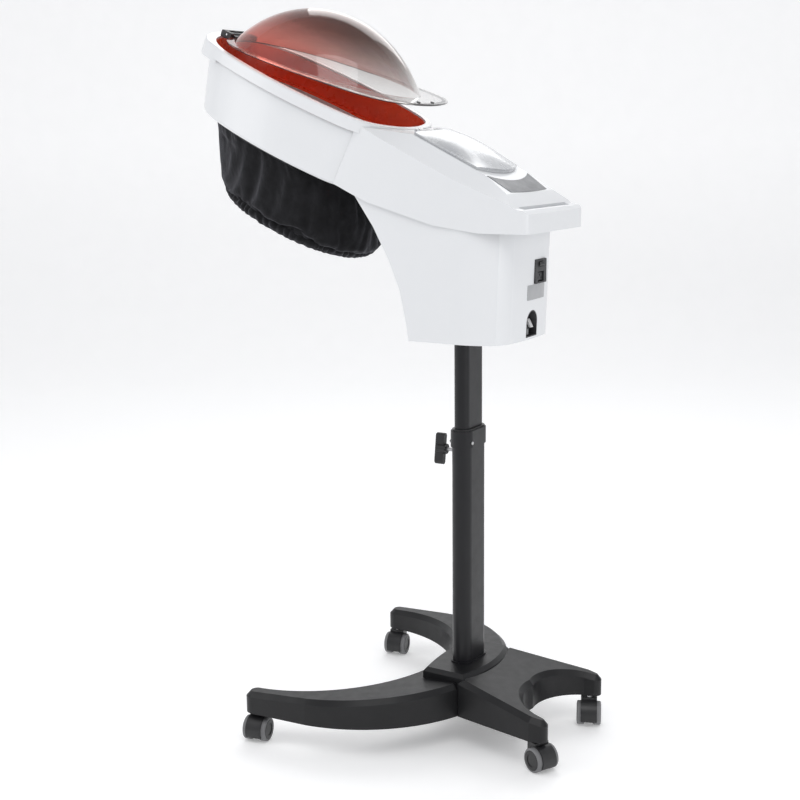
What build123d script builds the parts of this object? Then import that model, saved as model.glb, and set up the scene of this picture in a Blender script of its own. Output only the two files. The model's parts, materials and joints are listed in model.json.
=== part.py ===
from build123d import *
import os
from math import cos, radians, sin

os.makedirs("parts", exist_ok=True)

# Standing hood dryer on a wheeled column. Millimetres, +Z up.
# The origin is the floor point under the column axis. -Y is the front, where the hood
# reaches out over the client; +Y is the rear, where the control panel and grip are.

# ---------------------------------------------------------------- driving dimensions
WHEEL_D = 50.0
LEG_BOTTOM = 62.0
HUB_TOP = 148.0
OUTER_TUBE = (94.0, 43.0)
INNER_TUBE = (84.0, 33.0)
TUBE_WALL = 2.0
OUTER_TUBE_TOP = 647.0
HOUSING_BOTTOM = 840.0
HOUSING_HALF = 132.0
HOOD_TILT = 24.2
HOOD_REAR = (0.0, -126.0, 1252.0)
HOOD_DEPTH = 143.0
VISOR_OPEN = 6.4
WALL = 3.0
FIT = 0.2
SLIDE_FIT = 0.1
PIN_FIT = 0.05


def finish(name, label):
    name.part.label = label
    export_step(name.part, "parts/" + label + ".step")


def slot_ring(outer, inner, bottom, top):
    """Upright tube with a stadium section, outer and inner given as (length, width)."""
    with BuildPart() as ring:
        with BuildSketch(Plane.XY.offset(bottom)):
            SlotOverall(*outer)
            SlotOverall(*inner, mode=Mode.SUBTRACT)
        extrude(amount=top - bottom)
    return ring


# ---------------------------------------------------------------- base castings
HUB_HALF = 101.0
HUB_FRONT = -54.0
HUB_REAR = 43.0
HUB_BULGE = 10.0
HUB_CHAMFER = 8.0
STEM_R = 5.5
STEM_TOP = 90.0
FRONT_STEM = (284.0, -344.0)
REAR_STEM = (128.0, 224.0)
ARM_SLOPE = 0.0625
ARM_ROOT_TOP = 129.0
TAIL_SLOPE = 0.176
TAIL_ROOT_TOP = 149.0
LEG_CHAMFER = 10.0


def hub_outline(gap):
    """Barrel-shaped plan of the centre block, grown by gap."""
    half = HUB_HALF + gap
    front = HUB_FRONT - gap
    rear = HUB_REAR + gap
    with BuildSketch() as plan:
        with BuildLine():
            ThreePointArc((-half, front), (0, front - HUB_BULGE), (half, front))
            Line((half, front), (half + 3, rear))
            ThreePointArc((half + 3, rear), (0, rear + 2 * HUB_BULGE), (-half - 3, rear))
            Line((-half - 3, rear), (-half, front))
        make_face()
    return plan.sketch


hub_plan = hub_outline(0)
hub_clear = hub_outline(FIT)

with BuildPart() as hub_block:
    with BuildSketch(Plane.XY.offset(LEG_BOTTOM)):
        add(hub_plan)
    extrude(amount=HUB_TOP - LEG_BOTTOM)
    chamfer(hub_block.faces().sort_by(Axis.Z)[-1].edges(), length=HUB_CHAMFER)
    with BuildSketch(Plane.XY.offset(HUB_TOP - 36)):
        SlotOverall(OUTER_TUBE[0] + 2 * FIT, OUTER_TUBE[1] + 2 * FIT)
    extrude(amount=40, mode=Mode.SUBTRACT)
finish(hub_block, "hub_block")

with BuildPart() as hub_void:
    with BuildSketch(Plane.XY.offset(LEG_BOTTOM - 10)):
        add(hub_clear)
    extrude(amount=HUB_TOP)

def cast_leg(outline, top_plane):
    """Leg with a sloping top whose rim is chamfered all round, cut to fit the hub."""
    shoulder = top_plane.offset(-LEG_CHAMFER)
    with BuildPart() as leg:
        with BuildSketch(shoulder):
            add(outline)
        extrude(amount=LEG_CHAMFER, taper=45)
        with BuildSketch(shoulder):
            add(outline)
        extrude(amount=120, dir=(0, 0, -1))
        split(bisect_by=Plane.XY.offset(LEG_BOTTOM), keep=Keep.TOP)
        add(hub_void.part, mode=Mode.SUBTRACT)
    return leg.part


with BuildSketch() as arm_plan:
    with BuildLine():
        ThreePointArc((54, -83), (203, -170), (269, -345))
        ThreePointArc((269, -345), (291, -369), (312, -345))
        Line((312, -345), (305, -217))
        ThreePointArc((305, -217), (228, -47), (114, 33))
        Polyline((114, 33), (80, 33), (54, 0), (54, -83))
    make_face()

arm_top = Plane(origin=(0, 0, ARM_ROOT_TOP), x_dir=(1, 0, 0), z_dir=(0, -ARM_SLOPE, 1))

with BuildPart() as right_arm:
    add(cast_leg(arm_plan.sketch, arm_top))
    with BuildSketch(Plane.XY.offset(LEG_BOTTOM)):
        with Locations(FRONT_STEM):
            Circle(STEM_R + PIN_FIT)
    extrude(amount=STEM_TOP - LEG_BOTTOM, mode=Mode.SUBTRACT)
finish(right_arm, "right_arm")

with BuildPart() as left_arm:
    add(mirror(right_arm.part, about=Plane.YZ))
finish(left_arm, "left_arm")

with BuildSketch() as tail_plan:
    with BuildLine():
        Polyline((0, 24), (95, 24), (100, 37), (114, 37), (152, 219))
        Line((152, 219), (149, 243))
        ThreePointArc((149, 243), (134, 253), (121, 240))
        Line((121, 240), (117, 221))
        ThreePointArc((117, 221), (84, 176), (0, 156))
        mirror(about=Plane.YZ)
    make_face()

tail_top = Plane(origin=(0, 0, TAIL_ROOT_TOP), x_dir=(1, 0, 0), z_dir=(0, TAIL_SLOPE, 1))

with BuildPart() as rear_fishtail:
    add(cast_leg(tail_plan.sketch, tail_top))
    with BuildSketch(Plane.XY.offset(LEG_BOTTOM)):
        with Locations(REAR_STEM, (-REAR_STEM[0], REAR_STEM[1])):
            Circle(STEM_R + PIN_FIT)
    extrude(amount=STEM_TOP - LEG_BOTTOM, mode=Mode.SUBTRACT)
finish(rear_fishtail, "rear_fishtail")

# ---------------------------------------------------------------- column and clamp
COLLAR_BOTTOM = 612.0
COLLAR_TOP = 647.0
KNOB_Z = 596.0
KNOB_TILT = 8.0
KNOB_STEM_R = 4.0

with BuildPart() as outer_column:
    add(slot_ring(OUTER_TUBE, (OUTER_TUBE[0] - 2 * TUBE_WALL, OUTER_TUBE[1] - 2 * TUBE_WALL),
                  HUB_TOP - 36, OUTER_TUBE_TOP).part)
    with BuildSketch(Plane.XZ.offset(15)):
        with Locations((0, KNOB_Z)):
            Circle(KNOB_STEM_R + PIN_FIT)
    extrude(amount=10, mode=Mode.SUBTRACT)
finish(outer_column, "outer_column")

foot_trim = slot_ring((OUTER_TUBE[0] + 7, OUTER_TUBE[1] + 7),
                      (OUTER_TUBE[0] + 2 * FIT, OUTER_TUBE[1] + 2 * FIT), HUB_TOP, HUB_TOP + 3)
finish(foot_trim, "foot_trim")

with BuildPart() as column_bush:
    bush_hole = (INNER_TUBE[0] + 2 * SLIDE_FIT, INNER_TUBE[1] + 2 * SLIDE_FIT)
    add(slot_ring((OUTER_TUBE[0] - 2 * TUBE_WALL - 2 * FIT, OUTER_TUBE[1] - 2 * TUBE_WALL - 2 * FIT),
                  bush_hole, 560, OUTER_TUBE_TOP).part)
    add(slot_ring(OUTER_TUBE, bush_hole, OUTER_TUBE_TOP, OUTER_TUBE_TOP + 3).part)
finish(column_bush, "column_bush")

with BuildPart() as clamp_collar:
    add(slot_ring((OUTER_TUBE[0] + 6, OUTER_TUBE[1] + 6),
                  (OUTER_TUBE[0] + 2 * FIT, OUTER_TUBE[1] + 2 * FIT), COLLAR_BOTTOM, COLLAR_TOP).part)
    chamfer(clamp_collar.edges().group_by(Axis.Z)[-1], length=0.8)
finish(clamp_collar, "clamp_collar")

# Pan-head screws that hold the collar, front and rear.
with BuildPart() as collar_screws:
    for side in (-1, 1):
        face_y = side * (OUTER_TUBE[1] / 2 + 3)
        with BuildSketch(Plane(origin=(30, face_y, COLLAR_BOTTOM + 10), z_dir=(0, side, 0))):
            Circle(3.4)
        extrude(amount=1.8)
finish(collar_screws, "collar_screws")

with BuildPart() as clamp_boss:
    with BuildSketch(Plane.XZ.offset(OUTER_TUBE[1] / 2)):
        with Locations((0, KNOB_Z)):
            RectangleRounded(24, 24, 5)
            Circle(KNOB_STEM_R + PIN_FIT, mode=Mode.SUBTRACT)
    extrude(amount=6)
finish(clamp_boss, "clamp_boss")

KNOB_FRONT = 51.0
with BuildPart() as clamp_knob:
    with BuildSketch(Plane.XZ.offset(KNOB_FRONT)):
        with Locations((0, KNOB_Z)):
            Circle(11)
    extrude(amount=20)
    with BuildSketch(Plane.XZ.offset(KNOB_FRONT + 5)):
        with Locations(Location((0, KNOB_Z), 90 + KNOB_TILT)):
            SlotOverall(66, 13)
    extrude(amount=21)
    fillet(clamp_knob.edges().group_by(Axis.Y)[0], radius=3)
    with BuildSketch(Plane.XZ.offset(KNOB_FRONT)):
        with Locations((0, KNOB_Z)):
            Circle(KNOB_STEM_R)
    extrude(amount=14, mode=Mode.SUBTRACT)
finish(clamp_knob, "clamp_knob")

with BuildPart() as clamp_stem:
    with BuildSketch(Plane.XZ.offset(19.7)):
        with Locations((0, KNOB_Z)):
            Circle(KNOB_STEM_R)
    extrude(amount=KNOB_FRONT + 14 - 19.7)
finish(clamp_stem, "clamp_stem")

inner_column = slot_ring(INNER_TUBE, (INNER_TUBE[0] - 2 * TUBE_WALL, INNER_TUBE[1] - 2 * TUBE_WALL),
                         340, HOUSING_BOTTOM + 40)
finish(inner_column, "inner_column")

# ---------------------------------------------------------------- casters
AXLE_OFFSET = 11.0
AXLE_Z = WHEEL_D / 2
AXLE_R = 3.0
WEB_HALF = 8.0
WHEEL_IN = 8.8
WHEEL_OUT = 26.0
TREAD = 4.6
FENDER_R = 28.0
FENDER_HALF = 17.0
CASTERS = {
    "front_right": (FRONT_STEM[0], FRONT_STEM[1], 11),
    "front_left": (-FRONT_STEM[0], FRONT_STEM[1], 11),
    "rear_right": (REAR_STEM[0], REAR_STEM[1], 64),
    "rear_left": (-REAR_STEM[0], REAR_STEM[1], 23),
}
AXLE_AT = (AXLE_OFFSET, AXLE_Z)

with BuildPart() as fork:
    with BuildSketch(Plane.XZ):
        with Locations(AXLE_AT):
            Circle(FENDER_R)
        with Locations((0, AXLE_Z + 20)):
            Rectangle(24, 26)
        with Locations((AXLE_OFFSET, 0)):
            Rectangle(80, 24, mode=Mode.SUBTRACT)
        with Locations((AXLE_OFFSET - 24, 18)):
            Rectangle(24, 24, mode=Mode.SUBTRACT)
    extrude(amount=FENDER_HALF, both=True)
    for side in (-1, 1):
        with BuildSketch(Plane(origin=(AXLE_OFFSET, side * WEB_HALF, AXLE_Z), z_dir=(0, side, 0))):
            Circle(WHEEL_D / 2 + 1)
        extrude(amount=20, mode=Mode.SUBTRACT)
    with BuildSketch(Plane.XZ):
        with Locations(AXLE_AT):
            Circle(AXLE_R + PIN_FIT)
    extrude(amount=FENDER_HALF, both=True, mode=Mode.SUBTRACT)
    with BuildSketch(Plane.XY.offset(AXLE_Z + 10)):
        Circle(STEM_R)
    extrude(amount=40, mode=Mode.SUBTRACT)

with BuildPart() as stem:
    with BuildSketch(Plane.XY.offset(AXLE_Z + 10)):
        Circle(STEM_R)
    extrude(amount=STEM_TOP - 1 - AXLE_Z - 10)
    with BuildSketch(Plane.XY.offset(AXLE_Z + 33)):
        Circle(9)
    extrude(amount=3)

with BuildPart() as wheels:
    for side in (-1, 1):
        with BuildSketch(Plane(origin=(AXLE_OFFSET, side * WHEEL_IN, AXLE_Z), z_dir=(0, side, 0))):
            Circle(WHEEL_D / 2 - TREAD)
        extrude(amount=WHEEL_OUT - WHEEL_IN)
        hub_face = wheels.faces().sort_by(Axis.Y)[-1 if side > 0 else 0]
        fillet(hub_face.edges(), radius=2)
        with BuildSketch(Plane(origin=(AXLE_OFFSET, side * WHEEL_OUT, AXLE_Z), z_dir=(0, side, 0))):
            Circle(13)
        extrude(amount=-1.2, mode=Mode.SUBTRACT)
    with BuildSketch(Plane.XZ):
        with Locations(AXLE_AT):
            Circle(AXLE_R)
    extrude(amount=WHEEL_IN + 1, both=True)

with BuildPart() as tyres:
    for side in (-1, 1):
        with BuildSketch(Plane(origin=(AXLE_OFFSET, side * WHEEL_IN, AXLE_Z), z_dir=(0, side, 0))):
            Circle(WHEEL_D / 2)
        extrude(amount=WHEEL_OUT - WHEEL_IN - 0.4)
    fillet(tyres.edges().filter_by(GeomType.CIRCLE), radius=3.5)
    with BuildSketch(Plane.XZ):
        with Locations(AXLE_AT):
            Circle(WHEEL_D / 2 - TREAD + 0.05)
    extrude(amount=40, both=True, mode=Mode.SUBTRACT)

for corner, (stem_x, stem_y, heading) in CASTERS.items():
    place = Location((stem_x, stem_y, 0), (0, 0, heading))
    for piece, label in ((fork, "caster_fork_"), (stem, "caster_stem_"),
                         (wheels, "wheel_pair_"), (tyres, "tyre_pair_")):
        with BuildPart() as placed:
            add(piece.part.moved(place))
        finish(placed, label + corner)

# ---------------------------------------------------------------- hood shell and rim
# The hood's own frame: origin at the rear middle of the rim, local x across, local y
# towards the rear along the slope, local z out of the rim plane.
hood_up = (0, sin(radians(HOOD_TILT)), cos(radians(HOOD_TILT)))
rim_plane = Plane(origin=HOOD_REAR, x_dir=(1, 0, 0), z_dir=hood_up)
RIM_DEPTH = 24.0
RIM_INSET = 9.0
RIM_LIP = 14.0
REAR_R = 300.0
CORNER_R = 90.0
SIDE_R = 620.0
REAR_TURN = 20.0
CORNER_TURN = 56.0
SIDE_TURN = 29.0


def egg(plane, inset, shorten=0.0, start=0.0):
    """Egg-shaped outline from four tangent arcs a side: blunt rear, round nose."""
    rear_r = REAR_R - inset
    corner_r = CORNER_R - inset
    side_r = SIDE_R - inset - 2 * shorten
    first = radians(REAR_TURN)
    second = radians(REAR_TURN + CORNER_TURN)
    third = radians(REAR_TURN + CORNER_TURN + SIDE_TURN)
    half_at_nose = (rear_r * sin(first) + corner_r * (sin(second) - sin(first))
                    + side_r * (sin(third) - sin(second)))
    nose_r = half_at_nose / sin(third)
    with BuildSketch(plane) as outline:
        with BuildLine():
            rear = JernArc((0, -start - inset), (-1, 0), rear_r, REAR_TURN)
            corner = JernArc(rear @ 1, rear % 1, corner_r, CORNER_TURN)
            side = JernArc(corner @ 1, corner % 1, side_r, SIDE_TURN)
            nose = JernArc(side @ 1, side % 1, nose_r, 180 - REAR_TURN - CORNER_TURN - SIDE_TURN)
            mirror(about=Plane.YZ)
        make_face()
    return outline.sketch


def egg_prism(low, high, inset, shorten=0.0, start=0.0, plane=rim_plane):
    with BuildPart() as prism:
        add(egg(plane.offset(low), inset, shorten, start))
        extrude(amount=high - low, dir=plane.z_dir)
    return prism.part


def egg_loft(levels, plane=rim_plane):
    """Solid through egg outlines, levels as (height, inset, shorten, start)."""
    with BuildPart() as body:
        for height, inset, shorten, start in levels:
            add(egg(plane.offset(height), inset, shorten, start))
        loft()
    return body.part


def hood_point(forward, rise, x=0.0):
    """World point from a distance forward of the rim's rear middle and a height above it."""
    return rim_plane.from_local_coords((x, -forward, rise))


def hood_side(x):
    """Upright plane along the hood: sketch x runs forward, sketch y out of the rim."""
    return Plane(origin=hood_point(0, 0, x), x_dir=(0, -cos(radians(HOOD_TILT)), hood_up[1]),
                 z_dir=(-1, 0, 0))


TUB_TOP = (-RIM_DEPTH, RIM_INSET, 0, 0)
TUB_LOW = (-HOOD_DEPTH, RIM_INSET + 5, 22, 0)
HEAD_HOLE = (38.0, 24.0, 6.0)
NOZZLE_X = 88.0
NOZZLE_DEPTH = 42.0
DUCT_R = 10.0
LINER_TOP = (-4.2, 13.0, 0, 0)
LINER_LOW = (-65.0, 15.2, 9.0, 0)
LINER_WALL = 2.5


def thinner(level, gap):
    height, inset, shorten, start = level
    return (height, inset + gap, shorten, start)


def duct_bars(radius, front, rear):
    """Two round bars along the hood, one each side, for the pipes through its rear wall."""
    nozzle_plane = Plane(origin=hood_point(front, -NOZZLE_DEPTH), x_dir=(1, 0, 0),
                         z_dir=rim_plane.y_dir)
    with BuildPart() as bars:
        with BuildSketch(nozzle_plane):
            with Locations((-NOZZLE_X, 0), (NOZZLE_X, 0)):
                Circle(radius)
        extrude(amount=front - rear)
    return bars.part


with BuildPart() as hood_shell:
    add(egg_loft((TUB_TOP, TUB_LOW)))
    fillet(hood_shell.faces().sort_by(Axis.Z)[0].edges(), radius=8)
    add(egg_loft((thinner(TUB_TOP, WALL), (-HOOD_DEPTH + WALL, TUB_LOW[1] + WALL, 22, 0))),
        mode=Mode.SUBTRACT)
    add(egg_prism(-HOOD_DEPTH - 5, -HOOD_DEPTH + 5, *HEAD_HOLE), mode=Mode.SUBTRACT)
    add(duct_bars(DUCT_R + FIT, 60, 0), mode=Mode.SUBTRACT)
finish(hood_shell, "hood_shell")

NOSE_DEPTH = 32.0
RIM_CHAMFER = 2.5
HINGE_S = 478.0
HINGE_UP = 8.5
HINGE_PIN_R = 2.5
HINGE_BARREL_R = 5.0
HINGE_HALF = 34.0
HINGE_BLOCK = (46.0, 466.0, 492.0)

rim_axis = Axis((0, 0, 0), hood_up)

# Nose that carries the visor hinge and serves as the front grip.
with BuildPart() as nose:
    with BuildSketch(rim_plane):
        with BuildLine():
            Polyline((0, -410), (146, -410), (130, -459))
            ThreePointArc((130, -459), (76, -501), (0, -517))
            mirror(about=Plane.YZ)
        make_face()
    extrude(amount=-NOSE_DEPTH)
    chamfer(nose.faces().sort_by(rim_axis)[-1].edges(), length=RIM_CHAMFER)
    add(egg_prism(-NOSE_DEPTH - 5, 5, RIM_INSET / 2), mode=Mode.SUBTRACT)

with BuildPart() as hood_rim:
    add(egg_prism(-RIM_DEPTH, 0, 0))
    chamfer(hood_rim.faces().sort_by(rim_axis)[-1].edges(), length=RIM_CHAMFER)
    add(egg_prism(-NOSE_DEPTH - 5, -4, RIM_INSET), mode=Mode.SUBTRACT)
    add(egg_prism(-5, 5, RIM_LIP), mode=Mode.SUBTRACT)
    add(nose.part)
finish(hood_rim, "hood_rim")

with BuildPart() as hood_liner:
    add(egg_loft((LINER_TOP, LINER_LOW)))
    add(egg_loft((thinner(LINER_TOP, LINER_WALL),
                  (LINER_LOW[0] + LINER_WALL, LINER_LOW[1] + LINER_WALL, LINER_LOW[2], 0))),
        mode=Mode.SUBTRACT)
    add(egg_prism(LINER_LOW[0] - 5, LINER_LOW[0] + 5, *HEAD_HOLE), mode=Mode.SUBTRACT)
    add(duct_bars(DUCT_R + FIT, 60, 0), mode=Mode.SUBTRACT)
finish(hood_liner, "hood_liner")

# Drawstring bonnet that closes round the client's head, clamped under the tub.
BONNET_WALL = 8.0
BONNET = ((-146.5, 42, 47, 2), (-205.0, 36, -7, -58), (-262.0, 40, 14, -52),
          (-294.0, 48, 35, -40))

with BuildPart() as bonnet_ring:
    add(egg_prism(-HOOD_DEPTH - 3.2, -HOOD_DEPTH - 0.1, 30, 30, 4))
    add(egg_prism(-HOOD_DEPTH - 8, -HOOD_DEPTH + 5, *HEAD_HOLE), mode=Mode.SUBTRACT)
finish(bonnet_ring, "bonnet_ring")

with BuildPart() as bonnet:
    add(egg_loft(BONNET))
    add(egg_loft([thinner(level, BONNET_WALL) for level in BONNET]), mode=Mode.SUBTRACT)
finish(bonnet, "bonnet")

# ---------------------------------------------------------------- visor hinge
with BuildPart() as hinge_block:
    with BuildSketch(hood_side(0)):
        with Locations(((HINGE_BLOCK[1] + HINGE_BLOCK[2]) / 2, 7.5)):
            RectangleRounded(HINGE_BLOCK[2] - HINGE_BLOCK[1], 15, 3)
        Rectangle(HINGE_BLOCK[2], 5, align=(Align.MIN, Align.MAX), mode=Mode.SUBTRACT)
    extrude(amount=HINGE_BLOCK[0], both=True)
    # the barrel turns in this slot, which is open above and to the rear
    with BuildSketch(hood_side(0)):
        with Locations((HINGE_S, HINGE_UP)):
            Circle(HINGE_BARREL_R + 1)
        with Locations((HINGE_S + HINGE_BARREL_R + 1, HINGE_UP)):
            Rectangle(60, 20, align=(Align.MAX, Align.MIN))
        with Locations((HINGE_S, 3)):
            Rectangle(40, 30, align=(Align.MAX, Align.MIN))
    extrude(amount=HINGE_HALF + 1, both=True, mode=Mode.SUBTRACT)
    with BuildSketch(hood_side(0)):
        with Locations((HINGE_S, HINGE_UP)):
            Circle(HINGE_PIN_R + PIN_FIT)
    extrude(amount=60, both=True, mode=Mode.SUBTRACT)
finish(hinge_block, "hinge_block")

with BuildPart() as hinge_pin:
    with BuildSketch(hood_side(0)):
        with Locations((HINGE_S, HINGE_UP)):
            Circle(HINGE_PIN_R)
    extrude(amount=HINGE_BLOCK[0] - 1, both=True)
finish(hinge_pin, "hinge_pin")

# ---------------------------------------------------------------- visor
# The visor's frame has its origin on the hinge axis and is swung open by VISOR_OPEN.
tilt_up = radians(HOOD_TILT - VISOR_OPEN)
visor_plane = Plane(origin=hood_point(HINGE_S, HINGE_UP), x_dir=(1, 0, 0),
                    z_dir=(0, sin(tilt_up), cos(tilt_up)))
FLANGE = (-2.0, 30.0, -17.0)
FLANGE_LOW = -5.0
FLANGE_HIGH = -2.0
GASKET_LOW = -7.5
DOME_HALF = (157.0, 217.0)
DOME_RISE = 115.0
DOME_SINK = 0.58
DOME_Y = HINGE_S - 241.0
egg_origin = Plane(origin=visor_plane.from_local_coords((0, HINGE_S, 0)), x_dir=(1, 0, 0),
                   z_dir=visor_plane.z_dir)


def dome(thin):
    """Ellipsoid whose cap stands DOME_RISE above the flange; thin shrinks every axis."""
    grow = 1 / (1 - DOME_SINK ** 2) ** 0.5
    rise = DOME_RISE / (1 - DOME_SINK)
    centre = visor_plane.from_local_coords((0, DOME_Y, FLANGE_HIGH - DOME_SINK * rise))
    with BuildPart() as ball:
        Sphere(100)
        scale(by=((DOME_HALF[0] * grow - thin) / 100, (DOME_HALF[1] * grow - thin) / 100,
                  (rise - thin) / 100))
    return ball.part.moved(Plane(origin=centre, x_dir=(1, 0, 0), z_dir=visor_plane.z_dir).location)


with BuildPart() as visor_dome:
    add(dome(0))
    split(bisect_by=visor_plane.offset(FLANGE_LOW + 1), keep=Keep.TOP)
    add(egg_prism(FLANGE_LOW, FLANGE_HIGH, *FLANGE, plane=egg_origin))
    add(dome(WALL), mode=Mode.SUBTRACT)
finish(visor_dome, "visor_dome")

with BuildPart() as visor_gasket:
    add(egg_prism(GASKET_LOW, FLANGE_LOW, 3, 30, -17, plane=egg_origin))
    add(egg_prism(GASKET_LOW - 1, FLANGE_LOW + 1, 10, 30, -17, plane=egg_origin), mode=Mode.SUBTRACT)
finish(visor_gasket, "visor_gasket")

# Barrel on the hinge pin with a leaf that lies on the flange.
with BuildPart() as visor_leaf:
    with BuildSketch(Plane(origin=visor_plane.origin, x_dir=visor_plane.y_dir, z_dir=(1, 0, 0))):
        Circle(HINGE_BARREL_R)
        with Locations((0, FLANGE_HIGH)):
            Rectangle(19, 2.6, align=(Align.MIN, Align.MIN))
        Circle(HINGE_PIN_R + PIN_FIT, mode=Mode.SUBTRACT)
    extrude(amount=HINGE_HALF, both=True)
finish(visor_leaf, "visor_leaf")

with BuildPart() as visor_screws:
    with BuildSketch(egg_origin.offset(FLANGE_HIGH)):
        with Locations((-28, 7), (28, 7)):
            Circle(4)
    extrude(amount=1.6)
finish(visor_screws, "visor_screws")

# ---------------------------------------------------------------- housing
COVER_HALF = 134.0
BUCKET_HALF = 131.0
SKIRT_GAP = 0.5
REAR_DRAFT = 0.04
BUCKET_TOP = 1130.0
# Side profiles as (y, z) points.
COVER_TOP = ((-260, 1274.5), (-126, 1252), (-75, 1243.5), (84, 1166), (138, 1130.5), (166, 1104))
SKIRT_EDGE = ((193, 1057), (92, 1057), (-6, 1070), (-155, 1112), (-188, 1126), (-227, 1144))
BUCKET_FRONT = ((-188, 1125), (-145, 1064), (-110, 999), (-85, 939), (-71, 874), (-66, 840))


def side_prism(points, half):
    """Prism across X from side-profile points given as (y, z)."""
    with BuildPart() as prism:
        with BuildSketch(Plane.YZ):
            with BuildLine():
                Polyline(*points, close=True)
            make_face()
        extrude(amount=half, both=True)
    return prism.part


def bucket_plan(z, inset):
    """Plan of the lower housing; the rear wall leans out with height."""
    lean = (z - HOUSING_BOTTOM) * REAR_DRAFT - inset
    side = BUCKET_HALF - inset
    with BuildSketch(Plane.XY.offset(z)) as plan:
        with BuildLine():
            Polyline((0, -260), (side - 1, -260), (side - 1, -60), (side, 30))
            ThreePointArc((side, 30), (side - 4, 82), (side - 19, 118.5 + lean))
            ThreePointArc((side - 19, 118.5 + lean), (side - 34, 127.5 + lean), (side - 52, 133 + lean))
            ThreePointArc((side - 52, 133 + lean), ((side - 52) / 2, 137 + lean), (0, 138 + lean))
            mirror(about=Plane.YZ)
        make_face()
    return plan.sketch


def bucket_solid(inset, floor):
    """Lower housing volume: plan loft met by the leaning front profile."""
    front = [(y + 1.15 * inset, z) for y, z in BUCKET_FRONT[:-1]]
    top = [(y, z - SKIRT_GAP) for y, z in SKIRT_EDGE[:-2]]
    if inset > 0:
        top = [(193, BUCKET_TOP + 40), (-160, BUCKET_TOP + 40)]
    with BuildPart() as solid:
        add(bucket_plan(HOUSING_BOTTOM, inset))
        add(bucket_plan(BUCKET_TOP + 50, inset))
        loft(ruled=True)
        profile = top + front + [(BUCKET_FRONT[-1][0] + 1.15 * inset, floor), (193, floor)]
        add(side_prism(profile, 150), mode=Mode.INTERSECT)
    return solid.part


def cover_solid(drop, inset):
    """Upper housing volume: console profile, curved sides and sloping shoulders."""
    top = [(y, z - drop) for y, z in COVER_TOP]
    if inset > 0:
        low = [(146, 1114), (146, 1000), (-260, 1000)]
        top = top[:-1]
    else:
        low = [(184, 1101), (193, 1094)] + list(SKIRT_EDGE) + [(-260, 1158)]
    half = COVER_HALF - inset
    with BuildPart() as solid:
        add(side_prism(top + low, 150))
        with BuildSketch(Plane.XY.offset(900)):
            with BuildLine():
                ThreePointArc((half - 1, -262), (half + 2, -20), (half - 4, 181))
                ThreePointArc((half - 4, 181), (half - 8, 190), (half - 16, 193))
                Line((half - 16, 193), (-half + 16, 193))
                ThreePointArc((-half + 16, 193), (-half + 8, 190), (-half + 4, 181))
                ThreePointArc((-half + 4, 181), (-half - 2, -20), (-half + 1, -262))
                Line((-half + 1, -262), (half - 1, -262))
            make_face()
        extrude(amount=500, mode=Mode.INTERSECT)
        for side in (-1, 1):
            with BuildPart(mode=Mode.PRIVATE) as shoulder:
                for y, ridge, crease in ((-262, 1335, 1306), (36, 1189.5, 1160), (200, 1104, 1095)):
                    with BuildSketch(Plane.XZ.offset(-y)):
                        with BuildLine():
                            Polyline((side * 92, ridge - drop), (side * 140, crease - 4 - drop),
                                     (side * 140, 1400), (side * 92, 1400), close=True)
                        make_face()
                loft(ruled=True)
            add(shoulder.part, mode=Mode.SUBTRACT)
    return solid.part


# Room for the hood: its outside grown by a small gap, open upwards.
HOOD_GAP = 0.4
with BuildPart() as hood_room:
    add(egg_loft((thinner(TUB_TOP, -HOOD_GAP), thinner(TUB_LOW, -HOOD_GAP))))
    add(egg_prism(-HOOD_DEPTH - 10, -HOOD_DEPTH, TUB_LOW[1] - HOOD_GAP, 22))
    add(egg_prism(-RIM_DEPTH - HOOD_GAP, 80, -HOOD_GAP))
    add(egg_prism(0.8, 80, FLANGE[0] - 1.5, FLANGE[1], FLANGE[2]))

GAP_HALF = 105.0
LID_HALF = 87.0
LID_SLOPE = 26.0
LID_LENGTH = 176.5
lid_slope = radians(LID_SLOPE)
lid_plane = Plane(origin=(0, -75, 1243.5), x_dir=(1, 0, 0), z_dir=(0, sin(lid_slope), cos(lid_slope)))
LID_PIN = (-6.0, 4.5)
LID_PIN_R = 2.0
lid_axis = lid_plane.from_local_coords((0, LID_PIN[0], LID_PIN[1]))

with BuildPart() as upper_cover:
    add(cover_solid(0, 0))
    add(cover_solid(3.4, 3.0), mode=Mode.SUBTRACT)
    add(hood_room.part, mode=Mode.SUBTRACT)
    # finger gap behind the grip bar
    add(side_prism(((167, 1120), (176, 1120), (176, 1040), (150, 1040), (150, 1060)), GAP_HALF),
        mode=Mode.SUBTRACT)
    # filler opening under the lid
    with BuildSketch(lid_plane):
        with Locations((0, 76)):
            RectangleRounded(148, 124, 14)
    extrude(amount=-30, mode=Mode.SUBTRACT)
    # ears for the lid's pin
    for side in (-1, 1):
        with BuildSketch(Plane.YZ.offset(side * 66)):
            with Locations((lid_axis.Y, lid_axis.Z)):
                Circle(4)
            with Locations((lid_axis.Y - 3, lid_axis.Z)):
                Rectangle(7, 8, align=(Align.MIN, Align.MAX))
            with Locations((lid_axis.Y, lid_axis.Z)):
                Circle(LID_PIN_R + PIN_FIT, mode=Mode.SUBTRACT)
        extrude(amount=5 * side)
finish(upper_cover, "upper_cover")

RECESS_X = -7.0
RECESS_HALF = 25.0
RECESS_BOTTOM = 845.0
RECESS_SPRING = 873.0
INLET = (-34.0, 974.0, 52.0, 48.0)
INLET_FACE = 145.5


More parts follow.
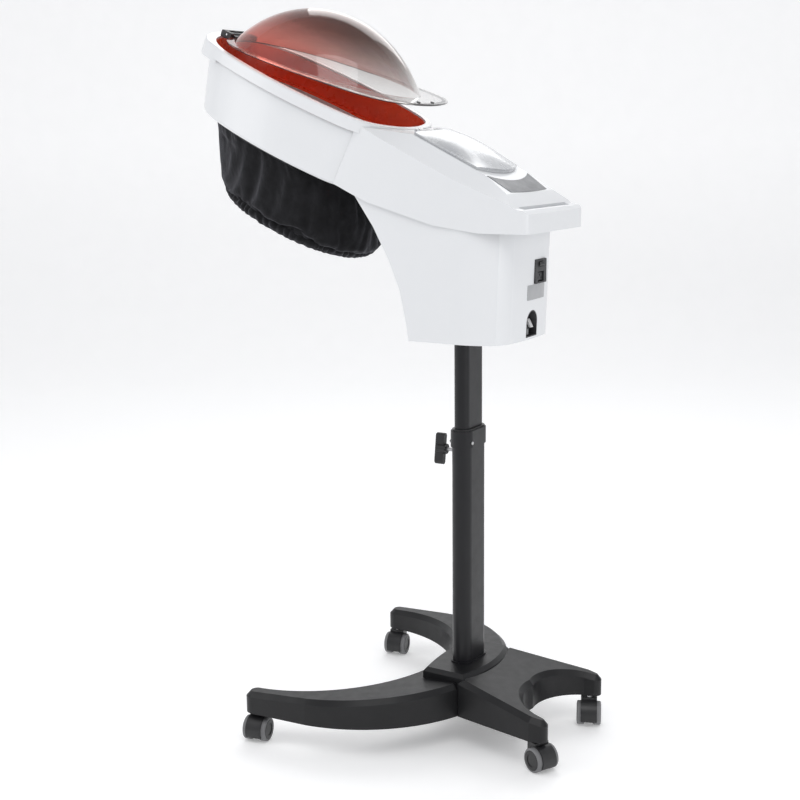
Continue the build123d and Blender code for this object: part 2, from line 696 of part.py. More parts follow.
def arch(inset):
    """Arch outline of the drain recess on the rear wall."""
    half = RECESS_HALF - inset
    with BuildSketch(Plane.XZ) as outline:
        with BuildLine():
            Polyline((RECESS_X - half, RECESS_SPRING), (RECESS_X - half, RECESS_BOTTOM + inset),
                     (RECESS_X + half, RECESS_BOTTOM + inset), (RECESS_X + half, RECESS_SPRING))
            ThreePointArc((RECESS_X + half, RECESS_SPRING), (RECESS_X, RECESS_SPRING + half),
                          (RECESS_X - half, RECESS_SPRING))
        make_face()
    return outline.sketch


def rearward(sketch, near, far):
    """Extrude an upright sketch between two y positions."""
    with BuildPart() as block:
        with BuildSketch(Plane.XZ.offset(-far)):
            add(sketch)
        extrude(amount=far - near)
    return block.part


with BuildSketch(Plane.XZ) as inlet_hole:
    with Locations((INLET[0], INLET[1])):
        Rectangle(INLET[2] + 0.6, INLET[3] + 0.6)

with BuildPart() as lower_bucket:
    add(bucket_solid(0, HOUSING_BOTTOM))
    add(bucket_solid(WALL, HOUSING_BOTTOM + WALL), mode=Mode.SUBTRACT)
    with BuildSketch(Plane.XY.offset(HOUSING_BOTTOM - 1)):
        SlotOverall(INNER_TUBE[0] + 2 * FIT, INNER_TUBE[1] + 2 * FIT)
    extrude(amount=10, mode=Mode.SUBTRACT)
    add(rearward(arch(0), 100, 160), mode=Mode.SUBTRACT)
    add(rearward(inlet_hole.sketch, 100, 160), mode=Mode.SUBTRACT)
finish(lower_bucket, "lower_bucket")

# Blank rating plate bent to the rear wall.
with BuildPart() as rating_plate:
    add(bucket_solid(-0.7, HOUSING_BOTTOM))
    add(bucket_solid(0, HOUSING_BOTTOM), mode=Mode.SUBTRACT)
    with BuildSketch(Plane.XZ) as plate_area:
        with Locations((-21, 934)):
            RectangleRounded(82, 30, 2)
    add(rearward(plate_area.sketch, 100, 160), mode=Mode.INTERSECT)
finish(rating_plate, "rating_plate")

# ---------------------------------------------------------------- tank lid
LID_SECTIONS = ((0.0, 9.0), (82.0, 20.0), (LID_LENGTH, 3.0))


def lid_loft(side, base, thin):
    """Pillow-shaped volume on the console slope."""
    with BuildPart() as volume:
        for at, crown in LID_SECTIONS:
            section = Plane(origin=lid_plane.from_local_coords((0, at, 0)), x_dir=(1, 0, 0),
                            z_dir=-lid_plane.y_dir)
            edge = 5.0 - thin
            with BuildSketch(section):
                with BuildLine():
                    Polyline((-side, edge), (-side, base), (side, base), (side, edge))
                    ThreePointArc((side, edge), (0, edge + crown), (-side, edge))
                make_face()
        loft()
    return volume.part


def lid_outline(inset):
    half = LID_HALF - inset
    with BuildPart() as prism:
        with BuildSketch(lid_plane.offset(-10)):
            with BuildLine():
                Polyline((half, 154), (half, 1 + inset), (-half, 1 + inset), (-half, 154))
                ThreePointArc((-half, 154), (0, LID_LENGTH - inset), (half, 154))
            make_face()
        extrude(amount=60)
    return prism.part


with BuildPart() as tank_lid:
    add(lid_loft(LID_HALF, 0.6, 0))
    add(lid_outline(0), mode=Mode.INTERSECT)
    with BuildPart(mode=Mode.PRIVATE) as lid_hollow:
        add(lid_loft(LID_HALF, -5, 3))
        add(lid_outline(3), mode=Mode.INTERSECT)
    add(lid_hollow.part, mode=Mode.SUBTRACT)
    # knuckles on the pin
    for side in (-1, 1):
        with BuildSketch(Plane.YZ.offset(side * 55)):
            with Locations((lid_axis.Y, lid_axis.Z)):
                Circle(4)
            with Locations(Location((lid_axis.Y, lid_axis.Z), -LID_SLOPE)):
                Rectangle(9, 4, align=(Align.MIN, Align.MIN))
            with Locations((lid_axis.Y, lid_axis.Z)):
                Circle(LID_PIN_R + PIN_FIT, mode=Mode.SUBTRACT)
        extrude(amount=8, both=True)
finish(tank_lid, "tank_lid")

with BuildPart() as lid_pin:
    with BuildSketch(Plane.YZ):
        with Locations((lid_axis.Y, lid_axis.Z)):
            Circle(LID_PIN_R)
    extrude(amount=70, both=True)
finish(lid_pin, "lid_pin")

# Thin leaf-shaped film over the control area, between the lid and the rear edge.
film_slope = (1130.5 - 1166.0) / (138 - 84)
film_plane = Plane(origin=(0, 100, 1166 + 16 * film_slope), x_dir=(1, 0, 0), z_dir=(0, -film_slope, 1))
with BuildPart() as panel_film:
    with BuildSketch(film_plane):
        with BuildLine():
            ThreePointArc((-88.7, -15), (0, 5), (88.7, -15))
            Line((88.7, -15), (80.4, 41))
            ThreePointArc((80.4, 41), (0, 44.5), (-80.4, 41))
            Line((-80.4, 41), (-88.7, -15))
        make_face()
    extrude(amount=0.8)
finish(panel_film, "panel_film")

# ---------------------------------------------------------------- rear fittings
SOCKET = (-34.0, 963.0, 27.0, 20.0)
ROCKER = (-34.0, 988.0, 20.0, 5.0)
ROCKER_Y = 143.5

with BuildPart() as inlet_module:
    with BuildSketch(Plane.XZ.offset(-INLET_FACE)):
        with Locations((INLET[0], INLET[1])):
            RectangleRounded(INLET[2], INLET[3], 3)
    extrude(amount=INLET_FACE - 100)
    with BuildSketch(Plane.XZ.offset(-INLET_FACE)):
        with Locations((SOCKET[0], SOCKET[1])):
            Rectangle(SOCKET[2], SOCKET[3])
    extrude(amount=17, mode=Mode.SUBTRACT)
    with BuildSketch(Plane.XZ.offset(-INLET_FACE + 17)):
        with Locations((SOCKET[0], SOCKET[1])):
            Rectangle(23, 15)
    extrude(amount=-14)
    with BuildSketch(Plane.XZ.offset(-INLET_FACE)):
        with Locations((SOCKET[0] - 7, SOCKET[1] - 2), (SOCKET[0], SOCKET[1] + 3),
                       (SOCKET[0] + 7, SOCKET[1] - 2)):
            Rectangle(2.4, 4.6)
    extrude(amount=15, mode=Mode.SUBTRACT)
    with BuildSketch(Plane.XZ.offset(-INLET_FACE)):
        with Locations((ROCKER[0], ROCKER[1])):
            Rectangle(ROCKER[2] + 1, 2 * ROCKER[3] + 1)
    extrude(amount=10, mode=Mode.SUBTRACT)
    for side in (-1, 1):
        with BuildSketch(Plane.YZ.offset(ROCKER[0])):
            with Locations((ROCKER_Y, ROCKER[1])):
                Circle(1.2 + PIN_FIT)
        extrude(amount=side * (ROCKER[2] / 2 + 3), mode=Mode.SUBTRACT)
finish(inlet_module, "inlet_module")

with BuildPart() as rocker:
    with BuildSketch(Plane.YZ.offset(ROCKER[0])):
        with Locations((ROCKER_Y, ROCKER[1])):
            Circle(ROCKER[3])
            Polygon((0, -4.8), (3.4, -4.4), (2.6, 0), (5.2, 4.4), (0, 4.8), align=None)
    extrude(amount=ROCKER[2] / 2, both=True)
    with BuildSketch(Plane.YZ.offset(ROCKER[0])):
        with Locations((ROCKER_Y, ROCKER[1])):
            Circle(1.2)
    extrude(amount=ROCKER[2] / 2 + 2.5, both=True)
finish(rocker, "rocker")

with BuildPart() as drain_pocket:
    add(rearward(arch(FIT), 104, 160))
    add(bucket_solid(0, HOUSING_BOTTOM), mode=Mode.INTERSECT)
    add(rearward(arch(FIT + 2), 106, 160), mode=Mode.SUBTRACT)
finish(drain_pocket, "drain_pocket")

with BuildPart() as drain_spout:
    with BuildLine() as spout_path:
        Line((RECESS_X + 8, 106.1, 874), (RECESS_X + 8, 118, 874))
        RadiusArc((RECESS_X + 8, 118, 874), (RECESS_X + 8, 128, 864), 10)
        Line((RECESS_X + 8, 128, 864), (RECESS_X + 8, 128, 853))
    with BuildSketch(Plane(origin=(RECESS_X + 8, 106.1, 874), z_dir=(0, 1, 0))):
        Circle(7)
        Circle(4.5, mode=Mode.SUBTRACT)
    sweep()
finish(drain_spout, "drain_spout")

with BuildPart() as drain_tongue:
    with BuildSketch(Plane.YZ.offset(RECESS_X - 12)):
        with BuildLine():
            Polyline((106.1, 884), (126, 878), (134, 862), (130, 862), (122, 874), (106.1, 878),
                     close=True)
        make_face()
    extrude(amount=6, both=True)
finish(drain_tongue, "drain_tongue")

# ---------------------------------------------------------------- inside the housing
BOILER_X = -86.0
BLOWER_X = 60.0
BLOWER_Z = 985.0
BLOWER_R = 42.0
IMPELLER_R = 34.0

with BuildPart() as mounting_plate:
    with BuildSketch(Plane.XY.offset(HOUSING_BOTTOM + WALL + 0.1)):
        Rectangle(130, 70)
        SlotOverall(INNER_TUBE[0] + 2 * FIT, INNER_TUBE[1] + 2 * FIT, mode=Mode.SUBTRACT)
    extrude(amount=4)
    add(slot_ring((INNER_TUBE[0] + 8, INNER_TUBE[1] + 8),
                  (INNER_TUBE[0] + 2 * FIT, INNER_TUBE[1] + 2 * FIT),
                  HOUSING_BOTTOM + WALL + 3, HOUSING_BOTTOM + 42).part)
finish(mounting_plate, "mounting_plate")


def tank_block(inset):
    points = ((-75 + inset, 1078 + inset), (55 - inset, 1078 + inset), (55 - inset, 1160 - inset),
              (-75 + inset, 1224 - inset))
    return side_prism(points, 72 - inset)


with BuildPart() as water_tank:
    add(tank_block(0))
    add(tank_block(2.5), mode=Mode.SUBTRACT)
    with BuildSketch(Plane.XY.offset(1150)):
        with Locations((0, -10)):
            Circle(22)
    extrude(amount=80, mode=Mode.SUBTRACT)
finish(water_tank, "water_tank")

with BuildPart() as boiler:
    with BuildSketch(Plane.XY.offset(960)):
        with Locations((BOILER_X, 20)):
            Circle(34)
    extrude(amount=70)
    fillet(boiler.edges().filter_by(GeomType.CIRCLE), radius=8)
finish(boiler, "boiler")


def nozzle_path(x, start):
    """Pipe route up from the housing and forward through the hood's rear wall."""
    knee = hood_point(-62, -NOZZLE_DEPTH, x)
    end = hood_point(22, -NOZZLE_DEPTH, x)
    with BuildPart() as pipe:
        with BuildLine():
            FilletPolyline(start, (start[0], start[1], 1120), (knee.X, knee.Y, knee.Z),
                           (end.X, end.Y, end.Z), radius=18)
        with BuildSketch(Plane(origin=start, z_dir=(0, 0, 1))):
            Circle(DUCT_R)
            Circle(DUCT_R - 2, mode=Mode.SUBTRACT)
        sweep()
    return pipe


steam_pipe = nozzle_path(-NOZZLE_X, (-NOZZLE_X, 20, 1030.1))
finish(steam_pipe, "steam_pipe")
air_pipe = nozzle_path(NOZZLE_X, (NOZZLE_X, 20, 1040))
finish(air_pipe, "air_pipe")

blower_plane = Plane(origin=(BLOWER_X, 10, BLOWER_Z), x_dir=(0, 1, 0), z_dir=(1, 0, 0))
with BuildPart() as blower_housing:
    with BuildSketch(blower_plane):
        Circle(BLOWER_R)
        with Locations((10, 27)):
            Rectangle(28, 56)
    extrude(amount=20, both=True)
    with BuildSketch(blower_plane):
        Circle(BLOWER_R - 3)
    extrude(amount=17, both=True, mode=Mode.SUBTRACT)
    with BuildSketch(blower_plane.offset(16)):
        Circle(22)
    extrude(amount=10, mode=Mode.SUBTRACT)
    with BuildSketch(blower_plane.offset(-30)):
        Circle(3 + PIN_FIT)
    extrude(amount=20, mode=Mode.SUBTRACT)
finish(blower_housing, "blower_housing")

with BuildPart() as impeller:
    with BuildSketch(blower_plane.offset(-15)):
        Circle(IMPELLER_R)
        Circle(3, mode=Mode.SUBTRACT)
    extrude(amount=2)
    with BuildSketch(blower_plane.offset(-15)):
        with PolarLocations(IMPELLER_R - 5, 18):
            Rectangle(8, 1.6)
    extrude(amount=28)
    with BuildSketch(blower_plane.offset(-28)):
        Circle(3)
    extrude(amount=22)
finish(impeller, "impeller")

with BuildPart() as control_board:
    with BuildSketch(Plane.XZ.offset(-88)):
        with Locations((58, 900)):
            Rectangle(100, 70)
    extrude(amount=2)
    with BuildSketch(Plane.XZ.offset(-86)):
        with Locations((30, 900), (72, 885)):
            Rectangle(24, 30)
    extrude(amount=20)
finish(control_board, "control_board")
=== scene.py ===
import json
from math import cos, pi, radians, sin

import bpy
from mathutils import Matrix, Vector, noise


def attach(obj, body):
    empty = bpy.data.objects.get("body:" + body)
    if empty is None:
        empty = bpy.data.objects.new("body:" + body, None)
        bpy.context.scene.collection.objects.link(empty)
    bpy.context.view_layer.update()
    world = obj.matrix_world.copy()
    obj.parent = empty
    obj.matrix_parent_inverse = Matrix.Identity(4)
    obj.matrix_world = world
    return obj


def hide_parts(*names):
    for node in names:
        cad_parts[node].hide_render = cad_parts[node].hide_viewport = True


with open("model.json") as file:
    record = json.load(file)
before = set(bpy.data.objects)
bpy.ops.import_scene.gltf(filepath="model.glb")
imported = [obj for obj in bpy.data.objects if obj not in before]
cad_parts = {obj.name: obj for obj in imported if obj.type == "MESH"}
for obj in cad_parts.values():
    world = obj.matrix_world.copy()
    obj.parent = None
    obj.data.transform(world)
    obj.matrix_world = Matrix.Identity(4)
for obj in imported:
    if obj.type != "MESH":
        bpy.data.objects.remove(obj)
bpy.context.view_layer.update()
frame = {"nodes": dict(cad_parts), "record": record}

# ---------------------------------------------------------------- materials


def new_material(name):
    mat = bpy.data.materials.new(name)
    mat.use_nodes = True
    nodes = mat.node_tree.nodes
    nodes.clear()
    out = nodes.new("ShaderNodeOutputMaterial")
    bsdf = nodes.new("ShaderNodeBsdfPrincipled")
    mat.node_tree.links.new(bsdf.outputs[0], out.inputs[0])
    return mat, nodes, mat.node_tree.links, bsdf


def noise_node(nodes, links, scale, detail=4.0, rough=0.55, stretch=(1, 1, 1)):
    coord = nodes.new("ShaderNodeTexCoord")
    mapping = nodes.new("ShaderNodeMapping")
    mapping.inputs["Scale"].default_value = stretch
    links.new(coord.outputs["Object"], mapping.inputs[0])
    tex = nodes.new("ShaderNodeTexNoise")
    tex.inputs["Scale"].default_value = scale
    tex.inputs["Detail"].default_value = detail
    tex.inputs["Roughness"].default_value = rough
    links.new(mapping.outputs[0], tex.inputs["Vector"])
    return tex


def ramp(nodes, links, source, low, high, at=(0.35, 0.65)):
    r = nodes.new("ShaderNodeValToRGB")
    r.color_ramp.elements[0].position = at[0]
    r.color_ramp.elements[1].position = at[1]
    r.color_ramp.elements[0].color = (*low, 1) if hasattr(low, "__len__") else (low, low, low, 1)
    r.color_ramp.elements[1].color = (*high, 1) if hasattr(high, "__len__") else (high, high, high, 1)
    links.new(source, r.inputs[0])
    return r.outputs[0]


def bump(nodes, links, height, strength, distance, chain=None):
    b = nodes.new("ShaderNodeBump")
    b.inputs["Strength"].default_value = strength
    b.inputs["Distance"].default_value = distance
    links.new(height, b.inputs["Height"])
    if chain is not None:
        links.new(chain, b.inputs["Normal"])
    return b.outputs[0]


def finish_material(name, low, high, rough, grain=900.0, grain_depth=0.00005, wave=25.0,
                    wave_depth=0.0, metallic=0.0, coat=0.0, stretch=(1, 1, 1), specular=0.5):
    """Moulded or coated surface: mottled colour, uneven gloss, fine grain over a slow wave."""
    mat, nodes, links, bsdf = new_material(name)
    mottle = noise_node(nodes, links, 14.0)
    links.new(ramp(nodes, links, mottle.outputs[0], low, high), bsdf.inputs["Base Color"])
    smudge = noise_node(nodes, links, 40.0, 6.0)
    links.new(ramp(nodes, links, smudge.outputs[0], rough[0], rough[1]), bsdf.inputs["Roughness"])
    bsdf.inputs["Metallic"].default_value = metallic
    bsdf.inputs["Coat Weight"].default_value = coat
    bsdf.inputs["Coat Roughness"].default_value = 0.12
    bsdf.inputs["Specular IOR Level"].default_value = specular
    fine = noise_node(nodes, links, grain, 3.0, 0.6, stretch)
    normal = bump(nodes, links, fine.outputs[0], 0.35, grain_depth)
    if wave_depth:
        slow = noise_node(nodes, links, wave, 2.0)
        normal = bump(nodes, links, slow.outputs[0], 0.4, wave_depth, normal)
    links.new(normal, bsdf.inputs["Normal"])
    return mat


shell_white = finish_material("shell_white", (0.80, 0.812, 0.826), (0.806, 0.817, 0.831), (0.30, 0.34),
                              coat=0.15, grain_depth=0.00003)
cast_black = finish_material("cast_black", (0.006, 0.006, 0.007), (0.009, 0.009, 0.010), (0.34, 0.42),
                             grain=1400, grain_depth=0.00008, specular=0.35)
column_black = finish_material("column_black", (0.007, 0.007, 0.0085), (0.009, 0.009, 0.011), (0.3, 0.38),
                               grain=1600, grain_depth=0.00005, specular=0.35)
clamp_black = finish_material("clamp_black", (0.012, 0.012, 0.013), (0.02, 0.02, 0.021), (0.38, 0.5))
wheel_black = finish_material("wheel_black", (0.012, 0.012, 0.013), (0.022, 0.022, 0.023), (0.32, 0.45))
steel = finish_material("steel", (0.48, 0.48, 0.49), (0.6, 0.6, 0.61), (0.22, 0.36), metallic=1.0,
                        stretch=(1, 1, 12))
lid_grey = finish_material("lid_grey", (0.50, 0.51, 0.53), (0.58, 0.59, 0.60), (0.2, 0.3), metallic=0.35,
                           coat=0.4, grain=2500)
panel_dark = finish_material("panel_dark", (0.10, 0.105, 0.115), (0.15, 0.155, 0.165), (0.3, 0.42),
                             grain=2200, grain_depth=0.0001)
trim_dark = finish_material("trim_dark", (0.03, 0.03, 0.033), (0.045, 0.045, 0.048), (0.42, 0.55))
seal_dark = finish_material("seal_dark", (0.012, 0.012, 0.013), (0.02, 0.02, 0.021), (0.6, 0.75))
tongue_white = finish_material("tongue_white", (0.72, 0.73, 0.73), (0.8, 0.8, 0.8), (0.4, 0.5))
spout_grey = finish_material("spout_grey", (0.2, 0.205, 0.21), (0.27, 0.275, 0.28), (0.45, 0.6))
rating_silver = finish_material("rating_silver", (0.42, 0.43, 0.44), (0.5, 0.5, 0.51), (0.3, 0.4),
                                metallic=0.5, stretch=(14, 1, 1))
tank_clear = finish_material("tank_clear", (0.62, 0.68, 0.72), (0.7, 0.75, 0.78), (0.25, 0.4))
pipe_grey = finish_material("pipe_grey", (0.22, 0.23, 0.24), (0.3, 0.31, 0.32), (0.45, 0.6))
board_green = finish_material("board_green", (0.02, 0.09, 0.04), (0.04, 0.14, 0.06), (0.35, 0.5))
tyre_grey = finish_material("tyre_grey", (0.16, 0.16, 0.165), (0.22, 0.22, 0.225), (0.55, 0.7),
                            grain=1200, grain_depth=0.0001)


def liner_material():
    mat, nodes, links, bsdf = new_material("liner_orange")
    mottle = noise_node(nodes, links, 9.0)
    links.new(ramp(nodes, links, mottle.outputs[0], (0.86, 0.085, 0.028), (0.92, 0.10, 0.034)),
              bsdf.inputs["Base Color"])
    bsdf.inputs["Subsurface Weight"].default_value = 0.15
    bsdf.inputs["Subsurface Radius"].default_value = (0.02, 0.004, 0.002)
    smudge = noise_node(nodes, links, 35.0)
    links.new(ramp(nodes, links, smudge.outputs[0], 0.22, 0.36), bsdf.inputs["Roughness"])
    bsdf.inputs["Coat Weight"].default_value = 0.4
    fine = noise_node(nodes, links, 900.0)
    links.new(bump(nodes, links, fine.outputs[0], 0.3, 0.00005), bsdf.inputs["Normal"])
    return mat


def visor_material():
    """Smoked acrylic, darkest at the crown. A red is mixed into its front and low part, by place on
    the dome, to imitate the orange liner behind it, so it shows from every side."""
    lean, smoke_from, smoke_to = 0.32, 1.27, 1.39
    # red_from, red_to and red make a painted see-through of the orange liner behind the dome, strongest at
    # the front and low part
    red_from, red_to = -0.20, -0.46
    clear, smoked, red = (0.90, 0.89, 0.88), (0.20, 0.15, 0.13), (0.82, 0.24, 0.17, 1)
    mat, nodes, links, bsdf = new_material("visor_smoke")
    coord = nodes.new("ShaderNodeTexCoord")
    split = nodes.new("ShaderNodeSeparateXYZ")
    links.new(coord.outputs["Object"], split.inputs[0])
    height = nodes.new("ShaderNodeMath")
    height.operation = "MULTIPLY_ADD"
    links.new(split.outputs[1], height.inputs[0])
    height.inputs[1].default_value = lean
    links.new(split.outputs[2], height.inputs[2])
    spread = nodes.new("ShaderNodeMapRange")
    links.new(height.outputs[0], spread.inputs[0])
    spread.inputs["From Min"].default_value = smoke_from
    spread.inputs["From Max"].default_value = smoke_to
    cloud = noise_node(nodes, links, 6.0)
    wobble = nodes.new("ShaderNodeMath")
    wobble.operation = "MULTIPLY_ADD"
    links.new(cloud.outputs[0], wobble.inputs[0])
    wobble.inputs[1].default_value = 0.12
    links.new(spread.outputs[0], wobble.inputs[2])
    smoke = ramp(nodes, links, wobble.outputs[0], clear, smoked, (0.05, 0.85))
    front = nodes.new("ShaderNodeMapRange")
    links.new(split.outputs[1], front.inputs[0])
    front.inputs["From Min"].default_value = red_from
    front.inputs["From Max"].default_value = red_to
    low = nodes.new("ShaderNodeMath")
    low.operation = "MULTIPLY_ADD"
    links.new(wobble.outputs[0], low.inputs[0])
    low.inputs[1].default_value = -0.75
    low.inputs[2].default_value = 1.0
    # Weight of the painted see-through red of the liner: more at the front, less where the smoke is thick
    liner_show_through = nodes.new("ShaderNodeMath")
    liner_show_through.operation = "MULTIPLY"
    links.new(front.outputs[0], liner_show_through.inputs[0])
    links.new(low.outputs[0], liner_show_through.inputs[1])
    tint = nodes.new("ShaderNodeMix")
    tint.data_type = "RGBA"
    links.new(liner_show_through.outputs[0], tint.inputs[0])
    links.new(smoke, tint.inputs[6])
    tint.inputs[7].default_value = red
    links.new(tint.outputs[2], bsdf.inputs["Base Color"])
    bsdf.inputs["Transmission Weight"].default_value = 0.92
    bsdf.inputs["IOR"].default_value = 1.12
    bsdf.inputs["Specular IOR Level"].default_value = 0.8
    bsdf.inputs["Coat Weight"].default_value = 0.6
    bsdf.inputs["Coat Roughness"].default_value = 0.03
    smear = noise_node(nodes, links, 30.0, 5.0)
    links.new(ramp(nodes, links, smear.outputs[0], 0.015, 0.05), bsdf.inputs["Roughness"])
    return mat


def velour_material():
    mat, nodes, links, bsdf = new_material("bonnet_cloth")
    crush = noise_node(nodes, links, 38.0, 5.0, 0.6)
    links.new(ramp(nodes, links, crush.outputs[0], (0.005, 0.005, 0.0056), (0.011, 0.011, 0.0125)),
              bsdf.inputs["Base Color"])
    nap = noise_node(nodes, links, 1300.0, 2.0)
    links.new(ramp(nodes, links, nap.outputs[0], 0.82, 0.98), bsdf.inputs["Roughness"])
    bsdf.inputs["Sheen Weight"].default_value = 0.35
    bsdf.inputs["Sheen Roughness"].default_value = 0.45
    bsdf.inputs["Sheen Tint"].default_value = (0.5, 0.5, 0.56, 1)
    bsdf.inputs["Specular IOR Level"].default_value = 0.2
    normal = bump(nodes, links, nap.outputs[0], 0.6, 0.0006)
    pile = noise_node(nodes, links, 140.0, 4.0, 0.6)
    links.new(bump(nodes, links, pile.outputs[0], 0.5, 0.0025, normal), bsdf.inputs["Normal"])
    return mat


looks = {
    "shell_white": shell_white, "cast_black": cast_black, "column_black": column_black,
    "clamp_black": clamp_black, "wheel_black": wheel_black, "steel": steel, "lid_grey": lid_grey,
    "panel_dark": panel_dark, "trim_dark": trim_dark, "seal_dark": seal_dark,
    "tongue_white": tongue_white, "spout_grey": spout_grey, "rating_silver": rating_silver,
    "tank_clear": tank_clear, "pipe_grey": pipe_grey, "board_green": board_green,
    "tyre_grey": tyre_grey, "liner_orange": liner_material(), "visor_smoke": visor_material(),
    "bonnet_cloth": velour_material(),
}
for part in frame["record"]["subparts"]:
    node = frame["nodes"][part["node"]]
    node.data.materials.clear()
    node.data.materials.append(looks[part["material_slot"]])

# ---------------------------------------------------------------- bonnet of black velour
TILT = radians(24.2)
RIM_REAR_Y, RIM_REAR_Z = -0.126, 1.252


def hood(across, forward, rise):
    """Point of the hood's own frame: across, forward up the slope, out of the rim."""
    return Vector((across, RIM_REAR_Y - forward * cos(TILT) + rise * sin(TILT),
                   RIM_REAR_Z + forward * sin(TILT) + rise * cos(TILT)))


def add_mesh(name, verts, faces, material):
    mesh = bpy.data.meshes.new(name)
    mesh.from_pydata(verts, [], faces)
    mesh.update()
    obj = bpy.data.objects.new(name, mesh)
    bpy.context.collection.objects.link(obj)
    mesh.materials.append(looks[material])
    for poly in mesh.polygons:
        poly.use_smooth = True
    return obj


# depth below the rim, rear end, front end and half width of the cloth at each level
LEVELS = [(0.1441, 0.033, 0.466, 0.1485), (0.1490, 0.034, 0.452, 0.143),
          (0.168, 0.022, 0.424, 0.138), (0.205, -0.008, 0.415, 0.140),
          (0.250, -0.006, 0.390, 0.136), (0.276, 0.008, 0.366, 0.129)]


def level_at(t):
    """The row of LEVELS at t, from 0 at the top to 1 at the lower edge, blended between neighbours."""
    x = t * (len(LEVELS) - 1)
    k = min(int(x), len(LEVELS) - 2)
    u = x - k
    return [a + (b - a) * u for a, b in zip(LEVELS[k], LEVELS[k + 1])]


RING_POWER = 0.94  # under 1 squares the egg off a little
RING_TAPER = 0.10  # how much narrower the front is


def bonnet_point(angle, level, push=0.0):
    """Egg-shaped ring: angle 0 at the front, pi at the rear."""
    depth, rear, front, half = level
    middle, reach = (rear + front) / 2, (front - rear) / 2
    c, s = cos(angle), sin(angle)
    x = (half + push) * (abs(s) ** RING_POWER) * (1 if s >= 0 else -1) * (1 - RING_TAPER * c)
    y = middle + (reach + push) * (abs(c) ** RING_POWER) * (1 if c >= 0 else -1)
    return hood(x, y, -depth)


AROUND = 168
DOWN = 34
HELD_ROWS = 7  # at the top, which the clamp ring holds
INSET = 0.003


def velour_tube(name):
    """Cloth tube with broad folds, small creases and, in its lower part, the start of the gathers."""
    broad, crease, pleat, pleats, pleat_from = 0.006, 0.003, 0.0022, 41, 0.72
    verts = []
    for j in range(DOWN + 1):
        t = j / DOWN
        for i in range(AROUND):
            angle = 2 * pi * i / AROUND
            seed = Vector((cos(angle) * 1.6, sin(angle) * 1.6, t * 1.5))
            fold = noise.noise(seed * 2.1) * broad + noise.noise(seed * 5.2 + Vector((7, 3, 1))) * crease
            gather = pleat * sin(angle * pleats + 3 * noise.noise(seed)) * max(0.0, t - pleat_from) / 0.28
            edge = min(1.0, 6 * t)
            verts.append(bonnet_point(angle, level_at(t), (fold + gather) * edge - INSET))
    faces = [(j * AROUND + i, j * AROUND + (i + 1) % AROUND,
              (j + 1) * AROUND + (i + 1) % AROUND, (j + 1) * AROUND + i)
             for j in range(DOWN) for i in range(AROUND)]
    obj = add_mesh(name, verts, faces, "bonnet_cloth")
    obj.vertex_groups.new(name="held")
    held = list(range(AROUND * HELD_ROWS)) + [DOWN * AROUND + i for i in range(AROUND)]
    obj.vertex_groups["held"].add(held, 1.0, "REPLACE")
    return obj


def drape(obj, frames, cap):
    """Short cloth simulation whose result is kept; no point moves more than cap."""
    start = [v.co.copy() for v in obj.data.vertices]
    cloth = obj.modifiers.new("cloth", "CLOTH")
    cloth.settings.quality = 6
    cloth.settings.mass = 0.25
    cloth.settings.tension_stiffness = 8
    cloth.settings.compression_stiffness = 4
    cloth.settings.bending_stiffness = 0.4
    cloth.settings.shrink_min = -0.055
    cloth.settings.vertex_group_mass = "held"
    cloth.settings.use_pressure = True
    cloth.settings.uniform_pressure_force = 0.4
    cloth.collision_settings.use_collision = False
    scene = bpy.context.scene
    scene.frame_start, scene.frame_end = 1, frames
    for f in range(1, frames + 1):
        scene.frame_set(f)
    shaped = obj.evaluated_get(bpy.context.evaluated_depsgraph_get())
    moved = [v.co.copy() for v in shaped.data.vertices]
    obj.modifiers.remove(cloth)
    for vert, before, after in zip(obj.data.vertices, start, moved):
        step = after - before
        if step.length > cap:
            step *= cap / step.length
        vert.co = before + step
    scene.frame_set(1)


DRAPE_FRAMES = 20
DRAPE_CAP = 0.011

bonnet_body = velour_tube("bonnet_velour")
drape(bonnet_body, DRAPE_FRAMES, DRAPE_CAP)
thick = bonnet_body.modifiers.new("thickness", "SOLIDIFY")
thick.thickness = 0.0022
thick.offset = -1
smooth = bonnet_body.modifiers.new("smooth", "SUBSURF")
smooth.levels = smooth.render_levels = 1
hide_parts("bonnet")
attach(bonnet_body, "head")

# Gathered hem: a fuller band below the cloth's lower edge, with close ruffles.
HEM_ROWS = 10
HEM_AROUND = 640
HEM_HEIGHT = 0.019
HEM_LAP = 0.002
RUFFLES = 64
RUFFLE_DEPTH = 0.0019


def hem_band():
    verts = []
    top = level_at(1.0)
    for j in range(HEM_ROWS):
        t = j / (HEM_ROWS - 1)
        depth = top[0] - HEM_LAP + HEM_HEIGHT * t
        bulge = 0.0050 * sin(pi * min(1.0, 1.08 * t)) - 0.0035 * t
        for i in range(HEM_AROUND):
            angle = 2 * pi * i / HEM_AROUND
            seed = Vector((cos(angle) * 3, sin(angle) * 3, 0.3 * t))
            wave = sin(angle * RUFFLES + 5 * noise.noise(seed * 1.3))
            ruffle = wave * RUFFLE_DEPTH * sin(pi * (0.15 + 0.7 * t))
            ruffle += noise.noise(seed * 6) * 0.0016
            lift = 0.0012 * noise.noise(seed * 4 + Vector((5, 1, 2))) * t
            verts.append(bonnet_point(angle, (depth + lift, *top[1:]), bulge + ruffle - 0.002))
    faces = [(j * HEM_AROUND + i, j * HEM_AROUND + (i + 1) % HEM_AROUND,
              (j + 1) * HEM_AROUND + (i + 1) % HEM_AROUND, (j + 1) * HEM_AROUND + i)
             for j in range(HEM_ROWS - 1) for i in range(HEM_AROUND)]
    return add_mesh("bonnet_hem", verts, faces, "bonnet_cloth")


hem = hem_band()
hem_thick = hem.modifiers.new("thickness", "SOLIDIFY")
hem_thick.thickness = 0.0024
hem_thick.offset = -1
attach(hem, "head")

# ---------------------------------------------------------------- set, light, camera
VIEW = Vector((-0.84329229, -0.50322789, -0.1887321))  # the camera's line of sight
REACH, BACK, CURVE = 9.0, 5.0, 1.2
GLOW = 0.22


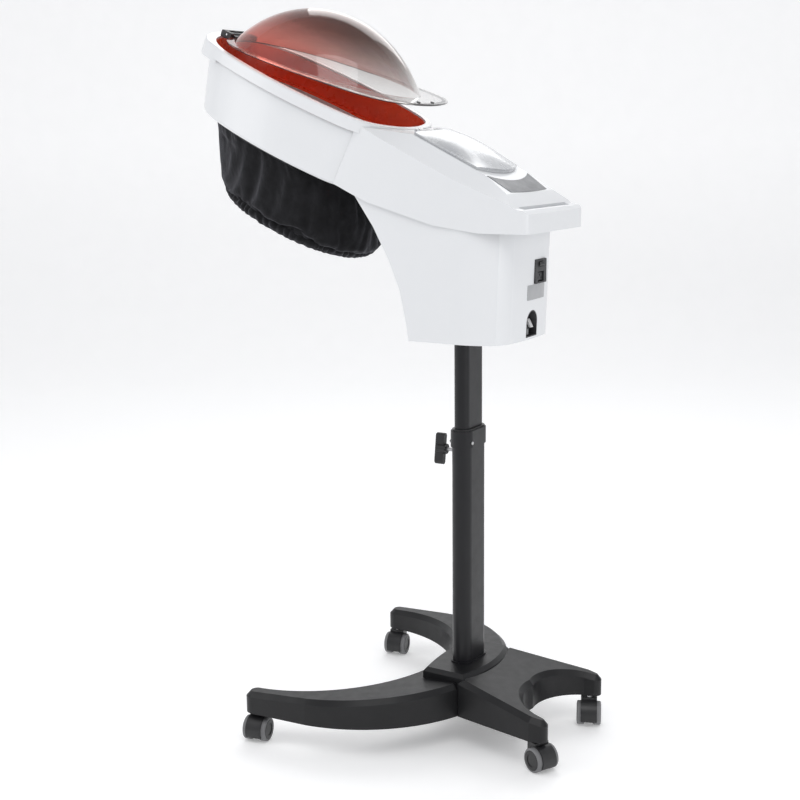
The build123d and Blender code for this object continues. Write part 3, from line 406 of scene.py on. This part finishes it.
def backdrop():
    """Floor that curves up into a wall behind the object, square to the camera's line of sight."""
    profile = [(-REACH, 0.0), (BACK - CURVE, 0.0)]
    for step in range(1, 9):
        turn = step * pi / 16
        profile.append((BACK - CURVE + CURVE * sin(turn), CURVE - CURVE * cos(turn)))
    profile.append((BACK, REACH))
    away = Vector((VIEW.x, VIEW.y, 0)).normalized()
    side = Vector((-away.y, away.x, 0))
    verts = [away * along + side * w + Vector((0, 0, up)) for along, up in profile for w in (-REACH, REACH)]
    faces = [(2 * k, 2 * k + 1, 2 * k + 3, 2 * k + 2) for k in range(len(profile) - 1)]
    mesh = bpy.data.meshes.new("floor")
    mesh.from_pydata(verts, [], faces)
    for poly in mesh.polygons:
        poly.use_smooth = True
    pale = finish_material("floor_pale", (0.9, 0.9, 0.9), (0.92, 0.92, 0.92), (0.6, 0.7))
    paint = next(n for n in pale.node_tree.nodes if n.type == "BSDF_PRINCIPLED")
    paint.inputs["Emission Color"].default_value = (1, 1, 1, 1)
    paint.inputs["Emission Strength"].default_value = GLOW
    mesh.materials.append(pale)
    floor = bpy.data.objects.new("floor", mesh)
    bpy.context.collection.objects.link(floor)


backdrop()


def area_light(name, at, target, size, power, shape=(1, 1)):
    lamp = bpy.data.lights.new(name, "AREA")
    lamp.shape = "RECTANGLE"
    lamp.size, lamp.size_y = size * shape[0], size * shape[1]
    lamp.energy = power
    obj = bpy.data.objects.new(name, lamp)
    obj.location = at
    obj.rotation_euler = (Vector(target) - Vector(at)).to_track_quat("-Z", "Y").to_euler()
    bpy.context.collection.objects.link(obj)
    return obj


area_light("key", (2.2, 1.2, 4.2), (0, 0, 0.9), 2.4, 46)
area_light("left", (1.9, -2.6, 1.9), (0, -0.2, 0.9), 1.8, 20, (0.7, 1.4))
area_light("right", (0.6, 3.4, 1.7), (0, 0, 0.8), 1.8, 17, (0.7, 1.4))
area_light("back", (-2.4, -1.0, 3.2), (0, 0, 1.0), 2.0, 26)
world = bpy.data.worlds.new("studio")
bpy.context.scene.world = world
world.use_nodes = True
world.node_tree.nodes["Background"].inputs[0].default_value = (0.96, 0.97, 1.0, 1)
world.node_tree.nodes["Background"].inputs[1].default_value = 0.55
bpy.context.scene.view_settings.view_transform = "Standard"

camera = bpy.data.cameras.new("camera")
camera.sensor_width = 36
camera.lens = 63
cam = bpy.data.objects.new("camera", camera)
eye = Vector((2.5023, 1.3293, 1.25))
upward = Vector((-0.16713823, -0.08820027, 0.98198041))
right = VIEW.cross(upward)
cam.matrix_world = Matrix((
    (right.x, upward.x, -VIEW.x, eye.x),
    (right.y, upward.y, -VIEW.y, eye.y),
    (right.z, upward.z, -VIEW.z, eye.z),
    (0, 0, 0, 1)))
bpy.context.collection.objects.link(cam)
bpy.context.scene.camera = cam
